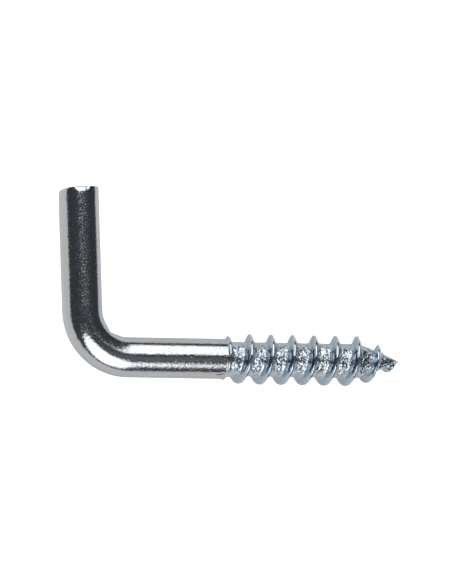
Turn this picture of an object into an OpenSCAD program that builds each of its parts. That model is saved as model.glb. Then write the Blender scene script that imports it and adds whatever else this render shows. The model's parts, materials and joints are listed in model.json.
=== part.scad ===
// Square screw hook: a round wire with a wood-screw thread and a gimlet point rolled on one
// end, bent once into an L and cut off across the other end. The whole hook is one piece.
//
// The hook lies on its side in the XY plane. The origin is on the axis of the screw where
// the thread begins, the screw points along +X, and the arm stands off along +Y.

/* [Wire] */
// Diameter of the round wire
wire_d = 4.8; // [4.4:0.1:5.4]

/* [Arm] */
// Straight length of the arm, from the bend to the cut end
arm_length = 14.7; // [6:0.1:40]

/* [Bend] */
// Angle inside the bend, between the arm and the shank
bend_angle = 91; // [80:1:120]
// Radius of the bend, measured to the middle of the wire
bend_radius = 5.55; // [4.5:0.05:12]
// Radius of the forming pin that the wire was bent around
forming_pin_r = 1.4; // [0.8:0.1:2.4]
// Depth of the mark that the forming pin left inside the bend
forming_mark_depth = 0.6; // [0.1:0.05:0.8]
// Turn round the bend, from its arm end, at which that mark lies
forming_mark_turn = 47; // [30:1:60]

/* [Cut end] */
// Angle by which the cut across the wire is off square
cut_slope = 2; // [0.5:0.5:8]
// Width of the outer side of the cut that the blade rolled over
rollover_width = 0.8; // [0.3:0.1:0.9]
// Turn of the rolled side about the wire, from the outer side towards +Z
rollover_turn = 0; // [-45:5:90]
// Radius of the rolled side
rollover_radius = 0.9; // [0.9:0.1:4]

/* [Shank] */
// Plain length of wire between the bend and the thread
shank_length = 11.2; // [7:0.1:40]

/* [Thread] */
// Length of the thread, with its point
thread_length = 22.9; // [14:0.1:60]
// Diameter over the crests of the thread
thread_d = 6; // [5.6:0.1:6.8]
// Diameter of the core between the ridges of the thread
core_d = 4.1; // [3.6:0.1:4.3]
// Distance from one crest to the next
pitch = 2.69; // [2.4:0.01:4]
// Share of a pitch by which the first turn is crowded, where the rolling of the thread began
first_turn_crowding = 0.48; // [0:0.02:0.5]
// Angle between the two flanks of the ridge
flank_angle = 66; // [50:1:80]
// Radius on the crest of the ridge
crest_radius = 0.17; // [0.05:0.01:0.25]
// Radius where a flank runs into the core
root_radius = 0.6; // [0.1:0.05:0.7]
// Way the thread winds, seen from its start: left or right
thread_hand = "left"; // [left, right]
// Turn about the axis at which the thread starts, from the side of the arm
thread_turn = 355; // [0:1:359]
// Length over which the groove sinks to the core at the thread's start
groove_run = 2; // [0.8:0.1:4]
// Length over which the ridge rises to its full height at the thread's start
ridge_run = 5; // [1:0.1:8]

/* [Point] */
// Length of the tapered point
point_length = 5.5; // [3:0.1:9]
// Fullness of the point's sides, where 1 is a plain cone
point_fullness = 1.25; // [1.1:0.05:1.8]
// Distance from the tip at which the ridge ends
ridge_stop = 0.5; // [0.3:0.1:1.5]
// Length over which the ridge shrinks before it ends
ridge_fade = 4.7; // [1:0.1:8]

/* [Hidden] */

$fn = 96;

wire_r = wire_d / 2;
core_r = core_d / 2;
crest_r = thread_d / 2;
ridge_height = crest_r - core_r;
hand_sign = thread_hand == "left" ? -1 : 1;

// Margin by which a cutting solid passes what it cuts
cut_margin = 1;
// The thread starts inside the shank, this much below its surface
seat_allowance = 0.02;
// The straight stretches of wire reach this far over the ends of the bend, which is a hair
// thinner than they are, so that the stretches grow together
bend_overlap = 0.1;
bend_allowance = 0.02;
// Steps in one turn of the thread
turn_steps = 36;
// Share of its full size that the ridge keeps to its end, and how bluntly it gets there
least_ridge = 0.15;
fade_power = 0.25;
// Share of the room between the crowded turns that the ridge's start fills, and the least
// share of its full width that it has
room_used = 0.8;
least_width = 0.1;

// Section of the ridge, as [distance from the crest along the axis, height above the core]:
// an arc on the crest, a straight flank, and a fillet down to the core.
half_flank = flank_angle / 2;
fillet_turn = 90 - half_flank;
arc_end = [
    crest_radius * cos(half_flank),
    ridge_height - crest_radius * (1 - sin(half_flank))
];
fillet_rise = root_radius * (1 - cos(fillet_turn));
fillet_top = arc_end[0] + (arc_end[1] - fillet_rise) * tan(half_flank);
fillet_foot = fillet_top + root_radius * sin(fillet_turn);
ridge_side = [
    arc_end,
    [fillet_top, fillet_rise],
    [
        fillet_foot - root_radius * sin(fillet_turn / 2),
        root_radius * (1 - cos(fillet_turn / 2))
    ],
    [fillet_foot, 0]
];
ridge_section = concat(
    [for (i = [len(ridge_side) - 1:-1:0]) [-ridge_side[i][0], ridge_side[i][1]]],
    [[0, ridge_height]],
    ridge_side
);
stations = len(ridge_section);

// The thread is one ribbon, as wide as the ridge, that winds about the axis with its turns
// joined side to side. It starts a turn deep in the shank and ends just short of the tip.
// Its travel is how far it would have come along the axis without the crowded turn.
ribbon_start = -pitch - 2 * fillet_foot;
ribbon_end = thread_length - ridge_stop + first_turn_crowding * pitch;
ribbon_steps = floor((ribbon_end - ribbon_start) / pitch * turn_steps);

// The ridge starts narrow, so that it fits between the crowded turns
start_room = (1 - first_turn_crowding) * pitch - fillet_foot;
start_width = max(least_width, min(1, room_used * start_room / fillet_foot));

function clamped(t) = max(0, min(1, t));
function smooth(t) = let (s = clamped(t)) s * s * (3 - 2 * s);

// Place of the crest along the axis, by the ribbon's travel
function crest_at(travel) = travel - first_turn_crowding * pitch * smooth(travel / pitch);
// Share of its full width that the ridge has, by the ribbon's travel
function ridge_width(travel) =
    (start_width + (1 - start_width) * smooth(travel / pitch)) * ridge_share(crest_at(travel));

// Radius of the core at a place along the axis, down to nothing at the tip
function core_at(x) =
    core_r * (1 - pow(clamped((x - thread_length + point_length) / point_length), point_fullness));
// Share of its full size that the ridge has where its crest is at a place along the axis
function ridge_share(x) =
    max(least_ridge, pow(clamped((thread_length - ridge_stop - x) / ridge_fade), fade_power));

// A point of the ribbon: its step along the helix and its station across the ridge. Ahead of
// the groove's start the ribbon is as thick as the wire. The side of the ridge that faces
// the tip is a turn further on than the side that faces the shank.
function ribbon_point(step, station) =
    let (
        travel = ribbon_start + pitch * step / turn_steps,
        crest_x = crest_at(travel),
        x = crest_x + ridge_section[station][0] * ridge_width(travel),
        turns_ahead = station < (stations - 1) / 2 ? 0 : 1,
        groove = smooth((travel + (turns_ahead - 1) * pitch) / groove_run),
        seat_r = wire_r - seat_allowance,
        floor_r = seat_r + (core_at(x) - seat_r) * groove,
        full_crest_r = core_at(crest_x) + ridge_height * ridge_share(crest_x),
        top_r = seat_r + (full_crest_r - seat_r) * smooth(travel / ridge_run),
        height = ridge_section[station][1] / ridge_height,
        r = floor_r + (top_r - floor_r) * height,
        turn = thread_turn + hand_sign * 360 * travel / pitch
    )
    [x, r * cos(turn), r * sin(turn)];

// Each row of the ribbon ends on the first station of the row one turn further on
function ribbon_index(step, station) =
    station < stations ? step * stations + station : (step + turn_steps) * stations;

// Faces are listed for a right-hand thread, and turned over for a left-hand one
function wound(face) = hand_sign > 0 ? face : [for (i = [len(face) - 1:-1:0]) face[i]];

module shank() {
    translate([-shank_length - bend_overlap, 0, 0])
        rotate([0, 90, 0])
            cylinder(r = wire_r, h = shank_length + bend_overlap);
}

// The bend's frame: its axis on Z, with the arm's end of the bend on +X
module at_bend() {
    translate([-shank_length, bend_radius, 0])
        rotate([0, 0, 90 + bend_angle])
            children();
}

module bend() {
    pin_distance = bend_radius - wire_r + forming_mark_depth - forming_pin_r;
    at_bend()
        difference() {
            rotate_extrude(angle = 180 - bend_angle)
                translate([bend_radius, 0])
                    circle(r = wire_r - bend_allowance);
            rotate([0, 0, forming_mark_turn])
                translate([pin_distance, 0, 0])
                    cylinder(r = forming_pin_r, h = wire_d + cut_margin, center = true);
        }
}

// What the blade took off the end of the wire, with +Z along the wire and +X outwards
module cut_off() {
    reach = wire_d;
    rotate([0, cut_slope, 0]) {
        translate([-reach, -reach, 0])
            cube(2 * reach);
        rotate([0, 0, -rollover_turn])
            translate([wire_r - rollover_width, 0, -rollover_radius])
                difference() {
                    translate([0, -reach, 0])
                        cube([reach, 2 * reach, rollover_radius + cut_margin]);
                    rotate([90, 0, 0])
                        cylinder(r = rollover_radius, h = 3 * reach, center = true);
                }
    }
}

module arm() {
    at_bend()
        translate([bend_radius, 0, 0])
            rotate([90, 0, 0])
                difference() {
                    translate([0, 0, -bend_overlap])
                        cylinder(r = wire_r, h = arm_length + bend_overlap + cut_margin);
                    translate([0, 0, arm_length])
                        cut_off();
                }
}

module thread() {
    last = ribbon_steps;
    points = concat(
        [for (step = [0:last]) for (station = [0:stations - 1]) ribbon_point(step, station)],
        [[ribbon_start, 0, 0], [thread_length, 0, 0]]
    );
    root_centre = len(points) - 2;
    tip = len(points) - 1;
    skin = [
        for (step = [0:last - 1]) for (station = [0:stations - 1])
            if (station < stations - 1 || step + 1 + turn_steps <= last)
                let (
                    a = ribbon_index(step, station),
                    b = ribbon_index(step, station + 1),
                    c = ribbon_index(step + 1, station + 1),
                    d = ribbon_index(step + 1, station)
                )
                each [[a, b, c], [a, c, d]]
    ];
    // Each open end of the ribbon is closed by a fan of its last turn about one point, and
    // by one flat face through that point and the row that the ribbon ends on
    root_fan = [
        for (step = [0:turn_steps - 1])
            [ribbon_index(step, 0), ribbon_index(step + 1, 0), root_centre]
    ];
    tip_fan = [
        for (step = [last - turn_steps:last - 1])
            [ribbon_index(step + 1, stations - 1), ribbon_index(step, stations - 1), tip]
    ];
    root_cap = [
        for (station = [stations:-1:0]) ribbon_index(0, station),
        root_centre
    ];
    tip_cap = [
        ribbon_index(last - turn_steps, stations - 1),
        for (station = [0:stations - 1]) ribbon_index(last, station),
        tip
    ];
    polyhedron(
        points = points,
        faces = [for (face = concat(skin, root_fan, tip_fan, [root_cap, tip_cap])) wound(face)],
        convexity = 10
    );
}

module screw_hook() {
    color("silver")
        union() {
            shank();
            bend();
            arm();
            thread();
        }
}

screw_hook();
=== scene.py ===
"""Looks of a square screw hook: bright zinc-plated wire on a white table, in a dark studio with
a long softbox, a round one and a faint card. Everything is in metres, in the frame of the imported
model."""
import json
import math

import bpy
import numpy as np
from bpy.props import FloatProperty, FloatVectorProperty, PointerProperty
from mathutils import Matrix, Vector, noise


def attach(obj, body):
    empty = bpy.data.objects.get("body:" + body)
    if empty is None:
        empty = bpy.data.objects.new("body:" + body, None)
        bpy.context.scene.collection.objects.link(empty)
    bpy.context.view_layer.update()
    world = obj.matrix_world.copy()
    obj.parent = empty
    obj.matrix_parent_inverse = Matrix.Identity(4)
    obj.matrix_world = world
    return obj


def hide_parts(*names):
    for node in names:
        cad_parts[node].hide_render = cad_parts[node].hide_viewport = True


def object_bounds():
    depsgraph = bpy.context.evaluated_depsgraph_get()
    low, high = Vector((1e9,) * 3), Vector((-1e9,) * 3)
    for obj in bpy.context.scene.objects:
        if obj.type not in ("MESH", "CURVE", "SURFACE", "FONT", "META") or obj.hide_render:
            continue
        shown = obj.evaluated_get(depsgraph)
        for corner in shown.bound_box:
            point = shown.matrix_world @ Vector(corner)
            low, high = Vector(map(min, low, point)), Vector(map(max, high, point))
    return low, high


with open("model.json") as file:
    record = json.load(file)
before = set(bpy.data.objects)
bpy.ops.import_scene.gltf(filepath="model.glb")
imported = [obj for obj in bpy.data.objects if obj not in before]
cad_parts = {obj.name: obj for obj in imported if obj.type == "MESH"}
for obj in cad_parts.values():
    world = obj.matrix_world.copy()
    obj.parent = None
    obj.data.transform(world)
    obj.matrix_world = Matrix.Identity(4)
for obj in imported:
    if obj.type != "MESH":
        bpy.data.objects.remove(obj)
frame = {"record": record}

bl_info = {
    "name": "Square Screw Hook",
    "version": (1, 0, 0),
    "blender": (4, 5, 0),
    "location": "View3D > Sidebar > Screw Hook",
    "description": "A zinc-plated square screw hook on a white table",
    "category": "Object",
}

CAD_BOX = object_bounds()
NODE = "screw_hook"
MM = 0.001
TINY = 1e-6
MOUNTS = {mount["name"]: mount["dims"] for mount in frame["record"]["mounts"]}

# Facets: columns round the wire and in one turn of the thread, rings along the wire and
# stations across one turn of the thread
COLUMNS = 144
ARM_RINGS = 48
BEND_RINGS = 60
SHANK_RINGS = 108
FILL_RINGS = 8
CREST_STATIONS = 4
FLANK_STATIONS = 7
FILLET_STATIONS = 5
FLOOR_STATIONS = 12
CAP_RINGS = 26

# The ridge starts narrow between the crowded turns: its least share of the full width, and the
# share of the room there that it fills
LEAST_WIDTH = 0.1
ROOM_USED = 0.8
# How bluntly the ridge shrinks towards the tip, in height and in width, and the share of that
# length over which it runs out
FADE_POWER = 0.25
WIDTH_POWER = 0.25
RUN_OUT = 1 / 12
# Shares of the ridge's height: the crinkled floor fades out below the first, and the polished
# crest starts at the second and is complete after the third
FLOOR_SHARE = 0.25
CREST_START = 0.8
CREST_FADE = 0.15
# The surface counts as rolled where the groove has sunk by this share, or where the ridge
# stands out of the wire by this much
ROLLED_SHARE = 0.25
ROLLED_HEIGHT = 0.1 * MM
# Points this near to the wire's round are on its plain surface
PLAIN_REACH = 0.1 * MM

# The square rings stop this far before the thread
FILL_LENGTH = 0.5 * MM
# The rings below the cut bow with its rim over this length
BOW_LENGTH = 3 * MM
# How much the cap's rings crowd towards its rim, and the share of the wire's radius inside
# which the cut is torn
CAP_CROWDING = 1.4
TORN_SHARE = 0.88
# How soon the bite reaches its full width, and how late the rolled side widens the rim
BITE_FULLNESS = 1.4
RIM_POWER = 4

# The pit's lip is this share of its depth, and the fold wanders by this turn for each metre
LIP_SHARE = 0.35
FOLD_WANDER = 3 / MM
# How much broader the broad crinkles are than the fine ones, the least mark of a groove that
# gets them, and the length over which gouges set in
BROAD = 1.7
LEAST_GROOVE = 0.01
GOUGE_RUN = 2 * MM
# The crinkles fade inside the first radius, and the second keeps the tip from folding over
THIN_POINT = 1.2 * MM
TIP_REACH = 0.05 * MM

# Places of a colour mix node's sockets: the share and the two colours among its inputs, and
# the mixed colour among its outputs
MIX_SHARE, MIX_FIRST, MIX_SECOND, MIX_RESULT = 0, 6, 7, 2

# Softboxes: name, azimuth from +X and angle off +Z in degrees, width and height in metres, the
# setting that holds the level, colour and shape
SOFTBOXES = (
    ("arm_softbox", 92, 42, (0.5, 0.62), "arm_lamp", "F8FCFF", "RECTANGLE"),
    ("bend_softbox", 254, 50, (0.7, 0.7), "bend_lamp", "FDFCFF", "ELLIPSE"),
    ("bounce_card", 327, 21.5, (0.25, 0.25), "bounce", "F4F6FF", "ELLIPSE"),
)
# Half the width of the table, in metres, and how bright it is to the camera and in the zinc
TABLE_HALF = 1.5
TABLE_SEEN = 0.88
TABLE_MIRRORED = 0.1
# Height of the picture over its width
PICTURE_SHAPE = 584 / 452


def from_hex(text):
    """An sRGB hex colour as linear red, green and blue."""
    parts = [int(text[i:i + 2], 16) / 255 for i in (0, 2, 4)]
    return [p / 12.92 if p <= 0.04045 else ((p + 0.055) / 1.055) ** 2.4 for p in parts]


def smooth(t):
    t = np.clip(t, 0, 1)
    return t * t * (3 - 2 * t)


def bump_about(value, centre, half_width):
    """1 at the centre, falling smoothly to 0 at half_width on each side."""
    return 1 - smooth(np.abs(value - centre) / half_width)


def ripple(points, size, seed):
    """Smooth noise from -1 to 1 at each point, with features of about the given size. Each seed
    reads another part of it."""
    offset = Vector((seed * 7.1, seed * 3.7, seed * 5.3))
    return np.array([noise.noise(Vector(p) / size + offset) for p in points])


def length_prop(name, size_mm, text):
    return FloatProperty(
        name=name, description=text, default=size_mm * MM, unit="LENGTH", precision=5)


def angle_prop(name, degrees, text):
    return FloatProperty(
        name=name, description=text, default=math.radians(degrees), subtype="ANGLE")


class HookSizes(bpy.types.PropertyGroup):
    """Sizes of the hook. The ridge's section, the mark inside the bend and the rim of the cut
    are finer than in the part's source."""
    wire_d: length_prop("Wire", 2 * MOUNTS["arm"]["r_mm"], "Diameter of the round wire")
    arm_length: length_prop("Arm", MOUNTS["arm"]["length_mm"], "Straight length of the arm")
    bend_angle: angle_prop("Bend", 91, "Angle inside the bend")
    bend_radius: length_prop("Bend radius", 5.55, "Radius of the bend, to the middle of the wire")
    press_depth: length_prop("Press depth", 0.6, "Depth of the forming mark inside the bend")
    press_turn: angle_prop("Press turn", 47, "Turn round the bend, from its arm end, of the mark")
    press_corner: angle_prop("Press corner", 1.5, "Softness of the corner between its two flats")
    press_blend: length_prop("Press blend", 0.03, "Softness of its edges on the round of the bend")
    cut_slope: angle_prop("Cut slope", 2, "Angle by which the cut is off square")
    rollover_width: length_prop("Rollover width", 0.8, "Outer side of the cut that rolled over")
    rollover_radius: length_prop("Rollover radius", 0.9, "Radius of the rolled side")
    rollover_turn: angle_prop("Rollover turn", 0, "Turn of the rolled side towards +Z")
    rim_radius: length_prop("Rim radius", 0.09, "Radius round the rim of the cut")
    rolled_rim: length_prop("Rolled rim", 0.34, "How much larger that radius is on the rolled side")
    bite_width: length_prop("Bite width", 0.17, "Width of the blade's bite on the upper lip")
    bite_slope: FloatProperty(
        name="Bite slope", description="Fall of the bite over its width", default=2.75)
    bite_turn: angle_prop("Bite turn", -1, "Turn of the bite's middle from +Z inwards")
    bite_outer: angle_prop("Bite outer side", 39, "Turn over which the bite fades outwards")
    bite_inner: angle_prop("Bite inner side", 27, "Turn over which the bite fades inwards")
    shank_length: length_prop("Shank", 11.2, "Plain wire between the bend and the thread")
    thread_length: length_prop(
        "Thread", MOUNTS["wood_thread"]["length_mm"], "Length of the thread with its point")
    thread_d: length_prop(
        "Thread diameter", 2 * MOUNTS["wood_thread"]["r_mm"], "Diameter over the crests")
    core_d: length_prop("Core", 4.1, "Diameter between the ridges")
    pitch: length_prop("Pitch", 2.69, "Distance from one crest to the next")
    crowding: FloatProperty(
        name="First turn", description="Share of a pitch by which the first turn is crowded",
        default=0.48)
    flank_angle: angle_prop("Flanks", 56, "Angle between the two flanks of the ridge")
    crest_flat: length_prop("Crest flat", 0.11, "Width of the flat on the crest of the ridge")
    crest_radius: length_prop("Crest radius", 0.08, "Radius on each side of the crest")
    flank_bulge: length_prop("Flank bulge", 0.03, "Height of the crown on each flank")
    root_radius: length_prop("Root radius", 0.35, "Radius where a flank runs into the core")
    thread_turn: angle_prop("Thread start", 355, "Turn about the axis at which the thread starts")
    groove_run: length_prop("Groove run", 2, "Length over which the groove sinks to the core")
    ridge_run: length_prop("Ridge run", 5, "Length over which the ridge rises to full height")
    point_length: length_prop("Point", 5.5, "Length of the tapered point")
    ridge_stop: length_prop("Ridge stop", 0.5, "Distance from the tip at which the ridge ends")
    ridge_fade: length_prop("Ridge fade", 4.7, "Length over which the ridge shrinks")
    point_fullness: FloatProperty(
        name="Point fullness", description="Fullness of the point's sides", default=1.25)


class ZincFinish(bpy.types.PropertyGroup):
    """Colours and grain of the zinc plating. The rolled colour is partly a painted highlight, and
    the flank colour is painted shade.
    """
    zinc: FloatVectorProperty(
        name="Zinc", description="Plating", subtype="COLOR", default=from_hex("CBCFD3"))
    zinc_warm: FloatVectorProperty(
        name="Warm zinc", description="Faint warm streaks in the plating", subtype="COLOR",
        default=from_hex("CAC4B8"))
    # Lighter zinc on the groove and crest: partly the whiter rolled plating, partly a painted
    # highlight that brightens the groove floor and the line of the crest
    rolled: FloatVectorProperty(
        name="Rolled zinc", description="Plating on the groove and crest of the thread",
        subtype="COLOR", default=from_hex("CED6DC"))
    # Darker, bluer zinc on the flanks of the ridge: painted shade, standing in for the dark room
    # and the neighbouring turns that the flanks reflect
    flank: FloatVectorProperty(
        name="Flank zinc", description="Bluer plating on the flanks of the ridge",
        subtype="COLOR", default=from_hex("C2CDD6"))
    gloss: FloatProperty(
        name="Gloss", description="Roughness of the shiniest plating", default=0.12)
    haze: FloatProperty(
        name="Haze", description="Roughness of the duller clouds in it", default=0.15)
    cloud: length_prop("Cloud", 2.2, "Size of those clouds")
    speck: length_prop("Speck", 0.2, "Size of the dull specks on the drawn wire")
    speck_haze: FloatProperty(
        name="Speck haze", description="Roughness that the specks add", default=0.145)
    cut_haze: FloatProperty(
        name="Cut haze", description="Roughness that the sheared end adds", default=0.2)
    groove_haze: FloatProperty(
        name="Groove haze", description="Roughness that the groove adds", default=0.06)
    crest_polish: FloatProperty(
        name="Crest polish", description="Roughness that the rolled crest takes off", default=0.07)
    grain: length_prop("Grain", 0.2, "Size of the pebbles that the plating's grains make")
    grain_depth: length_prop("Grain depth", 0.011, "Height of those pebbles")
    pit: length_prop("Pit", 0.8, "Distance between the tiny pits in the plating")
    pit_depth: length_prop("Pit depth", 0.006, "Depth of those pits")
    streak_width: length_prop("Streak width", 0.3, "Width of the lines that drawing left")
    streak_length: length_prop("Streak length", 9, "Length of the lines that drawing left")
    crinkle: length_prop("Crinkle", 0.52, "Size of the crinkles that rolling left in the groove")
    crinkle_depth: length_prop("Crinkle depth", 0.2, "Height of the fine part of those crinkles")
    wave: length_prop("Wave", 0.03, "Height of the broad part of those crinkles")
    gouge: length_prop("Gouge", 0.8, "Size of the gouges in the groove by the point")
    gouge_depth: length_prop("Gouge depth", 0.13, "Depth of those gouges")
    gouge_start: length_prop("Gouge start", 16.6, "Where the gouged groove begins to shine")
    gouge_full: length_prop("Gouge full", 18, "Where it shines in full")
    tear: length_prop("Tear", 0.5, "Size of the tears in the sheared end")
    tear_depth: length_prop("Tear depth", 0.15, "Depth of those tears")


class ShankWear(bpy.types.PropertyGroup):
    """The two small faults in the surface of the shank."""
    pit_x: length_prop("Pit", -4.0, "Place of the pit along the screw")
    pit_turn: angle_prop("Pit turn", 0, "Turn of the pit from +Z towards +Y")
    pit_size: length_prop("Pit size", 0.26, "Radius of the pit")
    pit_depth: length_prop("Pit depth", 0.045, "Depth of the pit")
    fold_x: length_prop("Fold", -0.3, "Place of the middle of the fold along the screw")
    fold_length: length_prop("Fold length", 2.2, "Length of the fold")
    fold_turn: angle_prop("Fold turn", -54, "Turn of the fold from +Z towards +Y")
    fold_depth: length_prop("Fold depth", 0.08, "Depth of the fold")
    fold_width: length_prop("Fold width", 0.12, "Half the width of the fold, and its wander")


class StudioLook(bpy.types.PropertyGroup):
    """Camera and lights."""
    view_yaw: angle_prop("Yaw", 17.875, "Turn of the camera towards -X")
    view_pitch: angle_prop("Pitch", 6.0, "Turn of the camera towards -Y")
    view_roll: angle_prop("Roll", 0.86, "Turn of the picture")
    picture_width: length_prop("Picture width", 53.905, "Width of the picture at the hook")
    aim_x: length_prop("Aim X", 1.24, "Where the middle of the picture falls, along the screw")
    aim_y: length_prop("Aim Y", 8.03, "Where the middle of the picture falls, along the arm")
    distance: length_prop("Distance", 1800, "From the camera to the hook")
    lamp_distance: length_prop("Lamp distance", 600, "From each softbox to the hook")
    arm_lamp: FloatProperty(
        name="Arm side", description="Level of the softbox on the arm's side", default=2.05)
    bend_lamp: FloatProperty(
        name="Bend side", description="Level of the softbox behind the bend", default=2.0)
    bounce: FloatProperty(
        name="Bounce", description="Level of the faint card near the camera", default=0.1)
    room: FloatVectorProperty(
        name="Room", description="Colour of the dark room", subtype="COLOR",
        default=from_hex("3A4046"))


def ridge_section(sizes):
    """Section of the ridge as rows of [distance from the crest along the axis, height above the
    core], from the foot on the shank's side to the foot on the tip's side."""
    half = sizes.flank_angle / 2
    height = (sizes.thread_d - sizes.core_d) / 2
    crest, root = sizes.crest_radius, sizes.root_radius
    turns = np.linspace(0, math.pi / 2 - half, CREST_STATIONS + 1)
    arc = np.stack([
        sizes.crest_flat / 2 + crest * np.sin(turns), height - crest * (1 - np.cos(turns))], 1)
    turns = np.linspace(math.pi / 2 - half, 0, FILLET_STATIONS + 1)
    rise = root * (1 - np.cos(turns))
    fillet_top = arc[-1, 0] + (arc[-1, 1] - rise[0]) * math.tan(half)
    foot = fillet_top + root * np.sin(turns[0])
    fillet = np.stack([foot - root * np.sin(turns), rise], 1)
    part = np.linspace(0, 1, FLANK_STATIONS + 1)[1:-1, None]
    crown = 4 * sizes.flank_bulge * part * (1 - part)
    flank = arc[-1] * (1 - part) + fillet[0] * part
    flank = flank + crown * [math.cos(half), math.sin(half)]
    side = np.concatenate([arc, flank, fillet])
    return np.concatenate([side[::-1] * [-1, 1], [[0, height]], side])


def core_at(sizes, x):
    start = sizes.thread_length - sizes.point_length
    taper = np.clip((x - start) / sizes.point_length, 0, 1) ** sizes.point_fullness
    return sizes.core_d / 2 * (1 - taper)


def ridge_share(sizes, x):
    """Share of its full size that the ridge has where its crest is at x: none at its end."""
    left = np.clip((sizes.thread_length - sizes.ridge_stop - x) / sizes.ridge_fade, 0, 1)
    return left ** FADE_POWER * smooth(left / RUN_OUT)


def crest_at(sizes, travel):
    """Place of the crest along the axis, where travel is what it would be without crowding."""
    return travel - sizes.crowding * sizes.pitch * smooth(travel / sizes.pitch)


def ridge_width(sizes, travel, foot):
    """Share of its full width that the ridge has: it starts narrow, between crowded turns."""
    room = (1 - sizes.crowding) * sizes.pitch - foot
    start = min(1, max(LEAST_WIDTH, ROOM_USED * room / foot))
    share = ridge_share(sizes, crest_at(sizes, travel))
    return (start + (1 - start) * smooth(travel / sizes.pitch)) * share ** WIDTH_POWER


def thread_grid(sizes):
    """The thread as rows, one for each step along the helix, of stations across one turn: their
    places along the axis, radii, turns and surface marks."""
    section = ridge_section(sizes)
    ridge_count = len(section)
    foot = section[-1, 0]
    ridge_height = (sizes.thread_d - sizes.core_d) / 2
    wire_r = sizes.wire_d / 2
    end = sizes.thread_length - sizes.ridge_stop + sizes.crowding * sizes.pitch
    rows = int(end / sizes.pitch * COLUMNS)
    travel = sizes.pitch * np.arange(rows + 1) / COLUMNS
    crest_x = crest_at(sizes, travel)
    width = ridge_width(sizes, travel, foot)
    width[-1] = 0
    next_travel = travel + sizes.pitch
    next_left = crest_at(sizes, next_travel) - foot * ridge_width(sizes, next_travel, foot)
    next_left = np.where(next_travel > end, sizes.thread_length, next_left)

    x = np.empty((rows + 1, ridge_count + FLOOR_STATIONS))
    r = np.empty_like(x)
    groove_part = np.zeros_like(x)
    crest_part = np.zeros_like(x)
    rolled_part = np.ones_like(x)
    full = ridge_height * ridge_share(sizes, crest_x)
    risen = smooth(travel / sizes.ridge_run)
    top = wire_r + (core_at(sizes, crest_x) + full - wire_r) * risen
    for j in range(ridge_count):
        x[:, j] = crest_x + section[j, 0] * width
        behind = 0 if j > (ridge_count - 1) / 2 else sizes.pitch
        groove = smooth((travel - behind) / sizes.groove_run)
        floor = wire_r + (core_at(sizes, x[:, j]) - wire_r) * groove
        height = section[j, 1] / ridge_height
        # Where the groove hasn't sunk yet, only the ridge's upper part stands out of the wire
        hidden = np.clip(full - (top - floor), 0, None)
        shown = np.clip(full * height - hidden, 0, None) / np.maximum(full - hidden, TINY)
        r[:, j] = floor + (top - floor) * shown
        groove_part[:, j] = groove * (1 - smooth(height / FLOOR_SHARE))
        crest_part[:, j] = smooth((height - CREST_START) / CREST_FADE)
        raised = smooth((r[:, j] - wire_r) / ROLLED_HEIGHT)
        rolled_part[:, j] = smooth(groove / ROLLED_SHARE) + raised
    groove = smooth(travel / sizes.groove_run)
    for k in range(FLOOR_STATIONS):
        j = ridge_count + k
        part = (k + 1) / (FLOOR_STATIONS + 1)
        x[:, j] = x[:, ridge_count - 1] * (1 - part) + next_left * part
        r[:, j] = wire_r + (core_at(sizes, x[:, j]) - wire_r) * groove
        groove_part[:, j] = groove
    turn = sizes.thread_turn - 2 * math.pi * travel / sizes.pitch
    return x, r, turn[:, None] + 0 * x, {
        "groove": groove_part, "crest": crest_part, "rolled": np.clip(rolled_part, 0, 1)}


def wire_rings(sizes, start_x):
    """Middles and inward directions of the rings from the cut end to start_x, and the way that
    the wire runs at the cut."""
    arm_turn = math.pi / 2 + sizes.bend_angle
    shank_turn = 1.5 * math.pi
    hub = np.array([-sizes.shank_length, sizes.bend_radius, 0])

    def out(turn):
        return np.array([math.cos(turn), math.sin(turn), 0])

    arm = np.array([math.sin(arm_turn), -math.cos(arm_turn), 0])
    middles, inward = [], []
    for height in np.linspace(sizes.arm_length, 0, ARM_RINGS + 1)[:-1]:
        middles.append(hub + sizes.bend_radius * out(arm_turn) + height * arm)
        inward.append(-out(arm_turn))
    for turn in np.linspace(arm_turn, shank_turn, BEND_RINGS + 1)[:-1]:
        middles.append(hub + sizes.bend_radius * out(turn))
        inward.append(-out(turn))
    for x in np.linspace(-sizes.shank_length, start_x, SHANK_RINGS + 1):
        middles.append(np.array([x, 0, 0]))
        inward.append(np.array([0, 1.0, 0]))
    return np.array(middles), np.array(inward), arm


def below_round(radius, past):
    """How far a quarter round lies below its top, this far past the start of it."""
    return radius - np.sqrt(np.clip(radius ** 2 - past ** 2, 0, None))


def cut_drop(sizes, a, b):
    """How far the sheared end lies below a square cut at a (outwards) and b (up) from the
    middle of the wire: the slope of the cut, its rolled outer side, the bite that the blade
    left on the upper lip, and the radius round the rim, which is larger on the rolled side."""
    wire_r = sizes.wire_d / 2
    away = a * math.cos(sizes.rollover_turn) + b * math.sin(sizes.rollover_turn)
    past = np.clip(away - (wire_r - sizes.rollover_width), 0, None)
    roll = below_round(sizes.rollover_radius, past)
    turn = np.arctan2(-a, b)
    from_rim = np.hypot(a, b) - wire_r
    spread = np.where(turn < sizes.bite_turn, sizes.bite_outer, sizes.bite_inner)
    bite_share = smooth(BITE_FULLNESS * bump_about(turn, sizes.bite_turn, spread))
    bite = np.clip(from_rim + sizes.bite_width * bite_share, 0, None) * sizes.bite_slope
    edge_r = sizes.rim_radius + sizes.rolled_rim * np.clip(away / wire_r, 0, 1) ** RIM_POWER
    edge = below_round(edge_r, np.clip(from_rim + edge_r, 0, edge_r))
    return a * math.tan(sizes.cut_slope) + roll + bite + edge


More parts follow.
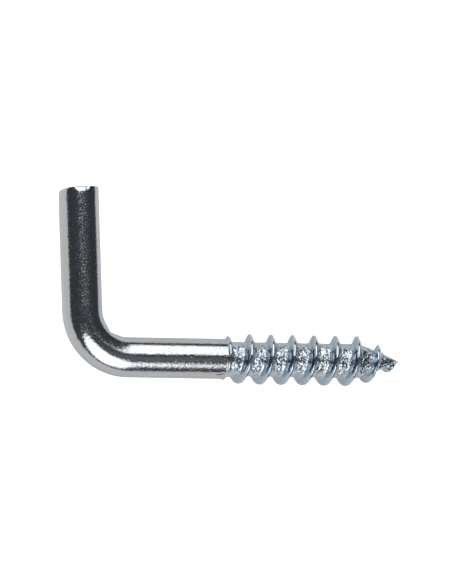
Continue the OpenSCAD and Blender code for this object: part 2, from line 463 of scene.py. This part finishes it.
def zip_strips(left, right, along):
    """Triangles between two rows of vertices that run the same way, by their places along x."""
    faces, i, j = [], 0, 0
    while i < len(left) - 1 or j < len(right) - 1:
        if j == len(right) - 1 or (
                i < len(left) - 1 and along[left[i + 1]] <= along[right[j + 1]]):
            faces.append((left[i], left[i + 1], right[j]))
            i += 1
        else:
            faces.append((left[i], right[j + 1], right[j]))
            j += 1
    # Rows that end on the same vertex leave a last triangle with no area
    return [face for face in faces if len(set(face)) == 3]


def skin_faces(starts, thread_shape, along):
    """Faces over the skin's blocks of points: the cut's middle and rings, the wire's rings, the
    fill, the thread's rows and the tip. starts says where each begins, along is each point's x."""
    cap_start, _, fill_start, helix_start, tip_index = starts[1:6]
    rows, stations = thread_shape

    def at_ring(k, i):
        return cap_start + k * COLUMNS + i % COLUMNS

    def at_helix(i, j):
        return helix_start + i * stations + j

    # Rings close on themselves down to the last square one, and leave a gap after it
    last_closed = (fill_start - cap_start) // COLUMNS - 1
    last = last_closed + FILL_RINGS
    faces = [(0, at_ring(0, i), at_ring(0, i + 1)) for i in range(COLUMNS)]
    for k in range(last):
        for i in range(COLUMNS if k < last_closed else COLUMNS - 1):
            faces.append(
                (at_ring(k, i), at_ring(k + 1, i), at_ring(k + 1, i + 1), at_ring(k, i + 1)))
    for i in range(COLUMNS - 1):
        faces.append(
            (at_ring(last, i), at_helix(i, 0), at_helix(i + 1, 0), at_ring(last, i + 1)))
    left = [at_ring(k, COLUMNS - 1) for k in range(last_closed, last + 1)]
    left.append(at_helix(COLUMNS - 1, 0))
    right = [at_ring(k, 0) for k in range(last_closed, last + 1)]
    right += [at_helix(0, j) for j in range(stations)] + [at_helix(COLUMNS, 0)]
    faces += zip_strips(left, right, along)

    for i in range(rows - 1):
        for j in range(stations - 1):
            faces.append((at_helix(i, j), at_helix(i, j + 1),
                          at_helix(i + 1, j + 1), at_helix(i + 1, j)))
        if i + 1 + COLUMNS < rows:
            faces.append((at_helix(i, stations - 1), at_helix(i + COLUMNS, 0),
                          at_helix(i + 1 + COLUMNS, 0), at_helix(i + 1, stations - 1)))
        elif i + COLUMNS < rows:
            left = [at_helix(i, stations - 1)]
            left += [at_helix(i + COLUMNS, j) for j in range(stations)] + [tip_index]
            faces += zip_strips(left, [at_helix(i + 1, stations - 1), tip_index], along)
        else:
            faces.append((at_helix(i, stations - 1), tip_index, at_helix(i + 1, stations - 1)))
    return faces


def hook_mesh(sizes):
    """Points, faces and surface marks of the whole hook as one closed skin."""
    x, r, turn, thread_marks = thread_grid(sizes)
    wire_r = sizes.wire_d / 2
    start_x = x[0, 0] - FILL_LENGTH
    middles, inward, arm = wire_rings(sizes, start_x)
    angles = sizes.thread_turn - 2 * math.pi * np.arange(COLUMNS) / COLUMNS
    around_yz = np.stack([np.cos(angles), np.sin(angles)], 1)
    up = np.array([0, 0, 1.0])
    around = around_yz[:, :1] * inward[:, None, :] + around_yz[:, 1:] * up

    # The cap: rings that shrink from the rim to the middle, over the shape of the cut
    lean = np.linspace(math.pi / 2, 0, CAP_RINGS + 1)[:-1]
    cap_r = wire_r * np.sin(lean) ** CAP_CROWDING
    a = -cap_r[:, None] * around_yz[:, 0]
    b = cap_r[:, None] * around_yz[:, 1]
    cap = middles[0] + cap_r[:, None, None] * around[0] - cut_drop(sizes, a, b)[..., None] * arm
    tube = middles[:, None, :] + wire_r * around
    # The last rings of the arm bow down with the rim of the cut
    below = sizes.arm_length / ARM_RINGS
    rim_drop = cut_drop(sizes, a[0], b[0])
    for k in range(ARM_RINGS):
        tube[k] -= (rim_drop * max(0, 1 - k * below / BOW_LENGTH))[:, None] * arm

    fill = np.empty((FILL_RINGS, COLUMNS, 3))
    for k in range(FILL_RINGS):
        part = (k + 1) / (FILL_RINGS + 1)
        fill[k, :, 0] = start_x + (x[:COLUMNS, 0] - start_x) * part
        fill[k, :, 1:] = wire_r * around_yz

    helix = np.stack([x, r * np.cos(turn), r * np.sin(turn)], 2)
    cap_centre = middles[0] - cut_drop(sizes, np.zeros(1), np.zeros(1))[0] * arm
    tip = np.array([sizes.thread_length, 0, 0])
    # The cap's outermost ring is the tube's first, so it is left out
    blocks = [cap_centre[None], cap[:0:-1].reshape(-1, 3), tube.reshape(-1, 3),
              fill.reshape(-1, 3), helix.reshape(-1, 3), tip[None]]
    starts = np.cumsum([0] + [len(block) for block in blocks])
    points = np.concatenate(blocks)
    faces = skin_faces(starts, x.shape, points[:, 0])

    # Each point's place on the wire as if it was straight, for the lines that drawing left
    run = np.concatenate([[0], np.cumsum(np.linalg.norm(np.diff(middles, axis=0), axis=1))])
    run += start_x - run[-1]
    cap_start, tube_start, fill_start, helix_start, tip_index = starts[1:6]
    cap_yz = cap_r[:0:-1, None, None] * around_yz
    straight = points.copy()
    straight[:tube_start, 0] = run[0]
    straight[0, 1:] = 0
    straight[cap_start:tube_start, 1:] = cap_yz.reshape(-1, 2)
    straight[tube_start:fill_start, 0] = np.repeat(run, COLUMNS)
    straight[tube_start:fill_start, 1:] = np.tile(around_yz * wire_r, (len(run), 1))

    marks = {"straight": straight}
    for name in (*thread_marks, "cut"):
        marks[name] = np.zeros(len(points))
    for name, grid in thread_marks.items():
        marks[name][helix_start:tip_index] = grid.reshape(-1)
    marks["rolled"][tip_index] = 1
    from_middle = np.linalg.norm(straight[:tube_start, 1:], axis=1)
    marks["cut"][:tube_start] = from_middle < TORN_SHARE * wire_r
    return points, faces, marks


def shape_bend(points, sizes):
    """Presses the mark of the forming edge into the inside of the bend: two flats that leave the
    round of the bend on each side and meet in a soft corner."""
    hub = np.array([-sizes.shank_length, sizes.bend_radius])
    away = points[:, :2] - hub
    distance = np.linalg.norm(away, axis=1)
    mark = math.pi / 2 + sizes.bend_angle + sizes.press_turn
    turn = np.arctan2(away[:, 1], away[:, 0]) - mark
    turn = np.abs((turn + math.pi) % (2 * math.pi) - math.pi)
    inner = sizes.bend_radius - sizes.wire_d / 2
    flat_turn = math.acos(inner / (inner + sizes.press_depth))
    corner = np.hypot(turn, sizes.press_corner)
    flat = inner / np.cos(np.clip(flat_turn - corner, 0, None))
    pushed = (distance + flat + np.hypot(distance - flat, sizes.press_blend)) / 2
    scale = np.where(turn < flat_turn, pushed / np.maximum(distance, TINY), 1)
    points[:, :2] = hub + away * scale[:, None]


def mark_shank(points, sizes, wear):
    """Sinks the small pit and the fold that the photo's hook has in its plain shank."""
    wire_r = sizes.wire_d / 2
    x = points[:, 0]
    around = np.hypot(points[:, 1], points[:, 2])
    psi = np.arctan2(points[:, 1], points[:, 2])
    on_wire = (x > -sizes.shank_length) & (np.abs(around - wire_r) < PLAIN_REACH)
    # The pit has a low lip on its +Y side
    across = wire_r * (psi - wear.pit_turn)
    away = np.hypot(x - wear.pit_x, across)
    depth = wear.pit_depth * bump_about(away, 0, wear.pit_size)
    lip = smooth(across / wear.pit_size + 0.5) * bump_about(away, wear.pit_size, wear.pit_size / 2)
    depth -= LIP_SHARE * wear.pit_depth * lip
    # The fold wanders from side to side
    across = wire_r * (psi - wear.fold_turn) - wear.fold_width * np.sin(FOLD_WANDER * x)
    depth += wear.fold_depth * bump_about(across, 0, wear.fold_width) * bump_about(
        x, wear.fold_x, wear.fold_length / 2)
    scale = 1 - np.where(on_wire, depth / np.maximum(around, MM), 0)
    points[:, 1:] *= scale[:, None]


def crinkle_thread(points, marks, sizes, finish):
    """Lays the broad crinkles that rolling leaves on the groove's floor, and the gouges that the
    cutting of the point leaves there. They fade where the point gets thin."""
    on_thread = np.where(marks["groove"] > LEAST_GROOVE)[0]
    spots = points[on_thread]
    wave = ripple(spots, finish.crinkle * BROAD, 1) * finish.wave
    gouged = smooth((spots[:, 0] - sizes.thread_length + sizes.point_length) / GOUGE_RUN)
    wave += ripple(spots, finish.gouge, 2) * finish.gouge_depth * gouged
    around = np.hypot(spots[:, 1], spots[:, 2])
    fade = np.clip(around / THIN_POINT, 0, 1)
    scale = 1 + wave * marks["groove"][on_thread] * fade / np.maximum(around, TIP_REACH)
    points[on_thread, 1:] *= scale[:, None]


def add_node(tree, kind, inputs=None, **settings):
    """Adds a node, sets it up, and links or sets its inputs."""
    node = tree.nodes.new(kind)
    for name, value in settings.items():
        setattr(node, name, value)
    for name, value in (inputs or {}).items():
        if isinstance(value, bpy.types.NodeSocket):
            tree.links.new(value, node.inputs[name])
        else:
            node.inputs[name].default_value = value
    return node


def zinc_plated_steel(finish):
    """Bright zinc plating over drawn and rolled steel wire. A mirror-like, slightly blue grey
    metal that shows the room as sharp bands. The plating's grains break their edges up, the
    drawn wire has dull specks, the groove of the thread is crinkled by rolling and its ridge
    has a polished crest, and the sheared end is rough. Groove and crest take a lighter zinc,
    partly the whiter rolled plating and partly a painted highlight; the flanks take a darker,
    bluer zinc, which is painted shade."""
    material = bpy.data.materials.new("zinc_plated_steel")
    material.use_nodes = True
    tree = material.node_tree
    shader = tree.nodes["Principled BSDF"]
    where = add_node(tree, "ShaderNodeTexCoord").outputs["Object"]
    along_screw = add_node(tree, "ShaderNodeSeparateXYZ", {"Vector": where}).outputs["X"]
    groove, cut, rolled, crest = [
        add_node(tree, "ShaderNodeAttribute", attribute_name=name).outputs["Fac"]
        for name in ("groove", "cut", "rolled", "crest")]
    straight = add_node(tree, "ShaderNodeAttribute", attribute_name="straight").outputs["Vector"]

    # The real grains are about 0.05 mm across; they are drawn coarser, so that they show
    lengthwise = add_node(tree, "ShaderNodeMapping", {"Vector": straight, "Scale": (0.75, 1, 1)})
    pebbles = add_node(tree, "ShaderNodeTexNoise", {
        "Vector": lengthwise.outputs["Vector"], "Scale": 1 / finish.grain, "Detail": 1.0,
        "Roughness": 0.5})
    pebble_bump = add_node(tree, "ShaderNodeBump", {
        "Height": pebbles.outputs["Fac"], "Distance": finish.grain_depth, "Strength": 1.0})

    pits = add_node(tree, "ShaderNodeTexVoronoi", {"Vector": where, "Scale": 1 / finish.pit})
    pit_height = add_node(tree, "ShaderNodeMapRange", {
        "Value": pits.outputs["Distance"], "From Max": 0.16}, interpolation_type="SMOOTHSTEP")
    pit_bump = add_node(tree, "ShaderNodeBump", {
        "Height": pit_height.outputs["Result"], "Distance": finish.pit_depth, "Strength": 1.0,
        "Normal": pebble_bump.outputs["Normal"]})

    along = add_node(tree, "ShaderNodeMapping", {"Vector": straight, "Scale": (
        finish.streak_width / finish.streak_length, 1, 1)})
    streaks = add_node(tree, "ShaderNodeTexNoise", {
        "Vector": along.outputs["Vector"], "Scale": 1 / finish.streak_width, "Detail": 2.0})

    crinkles = add_node(tree, "ShaderNodeTexNoise", {
        "Vector": where, "Scale": 1 / finish.crinkle, "Detail": 1.5, "Roughness": 0.5,
        "Distortion": 1.0})
    crinkle_bump = add_node(tree, "ShaderNodeBump", {
        "Height": crinkles.outputs["Fac"], "Distance": finish.crinkle_depth,
        "Strength": groove, "Normal": pit_bump.outputs["Normal"]})
    tears = add_node(tree, "ShaderNodeTexNoise", {
        "Vector": where, "Scale": 1 / finish.tear, "Detail": 5.0, "Roughness": 0.7})
    cut_bump = add_node(tree, "ShaderNodeBump", {
        "Height": tears.outputs["Fac"], "Distance": finish.tear_depth, "Strength": cut,
        "Normal": crinkle_bump.outputs["Normal"]})
    tree.links.new(cut_bump.outputs["Normal"], shader.inputs["Normal"])

    streak_share = add_node(tree, "ShaderNodeMapRange", {
        "Value": streaks.outputs["Fac"], "From Min": 0.45, "From Max": 0.7})
    # What is rolled but neither groove nor crest is a flank of the ridge
    ridge = add_node(tree, "ShaderNodeMath", {0: rolled, 1: groove}, operation="SUBTRACT")
    flank = add_node(
        tree, "ShaderNodeMath", {0: ridge.outputs[0], 1: crest}, operation="SUBTRACT",
        use_clamp=True)
    colour = (*finish.zinc, 1)
    # The warm streaks are the plating's own tone. The rolled colour is partly a painted highlight
    # on groove and crest, and the flank colour is painted shade on the flanks
    for share, other in ((streak_share.outputs["Result"], finish.zinc_warm),
                         (rolled, finish.rolled), (flank.outputs[0], finish.flank)):
        colour = add_node(
            tree, "ShaderNodeMix", {MIX_SHARE: share, MIX_FIRST: colour, MIX_SECOND: (*other, 1)},
            data_type="RGBA").outputs[MIX_RESULT]
    tree.links.new(colour, shader.inputs["Base Color"])

    clouds = add_node(tree, "ShaderNodeTexNoise", {
        "Vector": where, "Scale": 1 / finish.cloud, "Detail": 3.0})
    rough = add_node(tree, "ShaderNodeMapRange", {
        "Value": clouds.outputs["Fac"], "From Min": 0.3, "From Max": 0.7,
        "To Min": finish.gloss, "To Max": finish.haze}).outputs["Result"]
    specks = add_node(tree, "ShaderNodeTexNoise", {
        "Vector": where, "Scale": 1 / finish.speck, "Detail": 1.0, "Roughness": 0.5})
    speck_haze = add_node(tree, "ShaderNodeMapRange", {
        "Value": specks.outputs["Fac"], "From Min": 0.49, "From Max": 0.69,
        "To Max": finish.speck_haze}).outputs["Result"]
    drawn = add_node(
        tree, "ShaderNodeMath", {0: 1.0, 1: rolled}, operation="SUBTRACT").outputs[0]
    groove_haze = add_node(tree, "ShaderNodeMapRange", {
        "Value": along_screw, "From Min": finish.gouge_start, "From Max": finish.gouge_full,
        "To Min": finish.groove_haze, "To Max": 0.0}).outputs["Result"]
    for part, change in ((drawn, speck_haze), (cut, finish.cut_haze),
                         (crest, -finish.crest_polish), (groove, groove_haze)):
        rough = add_node(tree, "ShaderNodeMath", {
            0: part, 1: change, 2: rough}, operation="MULTIPLY_ADD").outputs[0]
    tree.links.new(rough, shader.inputs["Roughness"])
    shader.inputs["Metallic"].default_value = 1.0
    return material


def white_table():
    """White laminate under the hook. It shows the camera an even white, and still takes the
    hook's soft shadow."""
    material = bpy.data.materials.new("white_laminate")
    material.use_nodes = True
    tree = material.node_tree
    shader = tree.nodes["Principled BSDF"]
    shader.inputs["Base Color"].default_value = (*from_hex("F4F4F4"), 1)
    shader.inputs["Roughness"].default_value = 0.6
    shader.inputs["Specular IOR Level"].default_value = 0.0
    rays = add_node(tree, "ShaderNodeLightPath")
    glow = add_node(tree, "ShaderNodeMath", {
        0: rays.outputs["Is Glossy Ray"], 1: TABLE_MIRRORED}, operation="MULTIPLY")
    both = add_node(tree, "ShaderNodeMath", {
        0: rays.outputs["Is Camera Ray"], 1: TABLE_SEEN, 2: glow.outputs[0]},
        operation="MULTIPLY_ADD")
    shader.inputs["Emission Color"].default_value = (1, 1, 1, 1)
    tree.links.new(both.outputs[0], shader.inputs["Emission Strength"])
    return material


def mesh_object(name, points, faces, material):
    mesh = bpy.data.meshes.new(name)
    mesh.from_pydata(points.tolist(), [], faces)
    mesh.polygons.foreach_set("use_smooth", [True] * len(mesh.polygons))
    mesh.materials.append(material)
    mesh.update()
    thing = bpy.data.objects.new(name, mesh)
    bpy.context.scene.collection.objects.link(thing)
    return thing


def add_softbox(name, azimuth, off_normal, distance, size, strength, colour, shape):
    """A softbox that faces the hook from a direction in degrees: azimuth from +X, off_normal
    from +Z."""
    azimuth, off_normal = math.radians(azimuth), math.radians(off_normal)
    lamp = bpy.data.lights.new(name, "AREA")
    lamp.shape = shape
    lamp.color = from_hex(colour)
    lamp.size, lamp.size_y = size
    area = size[0] * size[1] * (1 if shape == "RECTANGLE" else math.pi / 4)
    lamp.energy = strength * area * math.pi
    thing = bpy.data.objects.new(name, lamp)
    bpy.context.scene.collection.objects.link(thing)
    way = Vector((math.sin(off_normal) * math.cos(azimuth),
                  math.sin(off_normal) * math.sin(azimuth), math.cos(off_normal)))
    thing.location = way * distance
    thing.rotation_euler = way.to_track_quat("Z", "Y").to_euler()


class HOOK_OT_wire_hook(bpy.types.Operator):
    """Makes the zinc-plated wire hook in place of its plain solid"""
    bl_idname = "hook.wire_hook"
    bl_label = "Make the hook"

    def execute(self, context):
        sizes, finish = context.scene.hook_sizes, context.scene.zinc_finish
        points, faces, marks = hook_mesh(sizes)
        shape_bend(points, sizes)
        mark_shank(points, sizes, context.scene.shank_wear)
        crinkle_thread(points, marks, sizes, finish)
        hook = mesh_object("wire_hook", points, faces, zinc_plated_steel(finish))
        for name, values in marks.items():
            if values.ndim == 1:
                hook.data.attributes.new(name, "FLOAT", "POINT").data.foreach_set("value", values)
            else:
                hook.data.attributes.new(name, "FLOAT_VECTOR", "POINT").data.foreach_set(
                    "vector", values.reshape(-1))
        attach(hook, "root")
        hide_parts(NODE)
        return {"FINISHED"}


class HOOK_OT_stage(bpy.types.Operator):
    """Makes the white table, the lamps, the dark room and the camera"""
    bl_idname = "hook.stage"
    bl_label = "Make the stage"

    def execute(self, context):
        scene, look = context.scene, context.scene.studio_look
        corners = np.array([[x * TABLE_HALF, y * TABLE_HALF, CAD_BOX[0].z] for x, y in (
            (-1, -1), (1, -1), (1, 1), (-1, 1))])
        table = mesh_object("table", corners, [(0, 1, 2, 3)], white_table())
        for name, azimuth, off_normal, size, level, colour, shape in SOFTBOXES:
            add_softbox(name, azimuth, off_normal, look.lamp_distance, size,
                        getattr(look, level), colour, shape)

        world = bpy.data.worlds.new("dark_room")
        scene.world = world
        world.use_nodes = True
        tree = world.node_tree
        rays = add_node(tree, "ShaderNodeLightPath")
        seen = add_node(tree, "ShaderNodeMix", {
            MIX_SHARE: rays.outputs["Is Camera Ray"], MIX_FIRST: (*look.room, 1),
            MIX_SECOND: (1, 1, 1, 1)}, data_type="RGBA").outputs[MIX_RESULT]
        tree.links.new(seen, tree.nodes["Background"].inputs["Color"])

        yaw, pitch, roll = look.view_yaw, look.view_pitch, look.view_roll
        right = Vector((math.cos(yaw), 0, math.sin(yaw)))
        ahead = Vector((math.sin(yaw) * math.cos(pitch), math.sin(pitch),
                        -math.cos(yaw) * math.cos(pitch)))
        above = right.cross(ahead)
        cam_right = math.cos(roll) * right - math.sin(roll) * above
        cam_up = math.sin(roll) * right + math.cos(roll) * above
        lens = bpy.data.cameras.new("camera")
        # The sensor's width spans the longer side of the picture, which is its height
        lens.lens = lens.sensor_width * look.distance / (look.picture_width * PICTURE_SHAPE)
        lens.clip_start, lens.clip_end = 0.1, 10
        camera = bpy.data.objects.new("camera", lens)
        scene.collection.objects.link(camera)
        place = Vector((look.aim_x, look.aim_y, 0)) - ahead * look.distance
        turn = Matrix((cam_right, cam_up, -ahead)).transposed()
        camera.matrix_world = Matrix.Translation(place) @ turn.to_4x4()
        scene.camera = camera
        scene.view_settings.view_transform = "Standard"
        return {"FINISHED"}


class HOOK_PT_panel(bpy.types.Panel):
    """Sizes, finish and stage of the screw hook"""
    bl_idname = "HOOK_PT_panel"
    bl_label = "Screw Hook"
    bl_space_type = "VIEW_3D"
    bl_region_type = "UI"
    bl_category = "Screw Hook"

    def draw(self, context):
        for group in GROUPS:
            settings = getattr(context.scene, group)
            box = self.layout.box()
            for name in settings.__annotations__:
                box.prop(settings, name)
        self.layout.operator("hook.wire_hook")
        self.layout.operator("hook.stage")


GROUPS = {"hook_sizes": HookSizes, "zinc_finish": ZincFinish, "shank_wear": ShankWear,
          "studio_look": StudioLook}
CLASSES = (*GROUPS.values(), HOOK_OT_wire_hook, HOOK_OT_stage, HOOK_PT_panel)


def register():
    for cls in CLASSES:
        bpy.utils.register_class(cls)
    for name, group in GROUPS.items():
        setattr(bpy.types.Scene, name, PointerProperty(type=group))


def unregister():
    for name in GROUPS:
        delattr(bpy.types.Scene, name)
    for cls in reversed(CLASSES):
        bpy.utils.unregister_class(cls)


def main():
    register()
    bpy.ops.hook.wire_hook()
    bpy.ops.hook.stage()


if __name__ == "__main__":
    main()
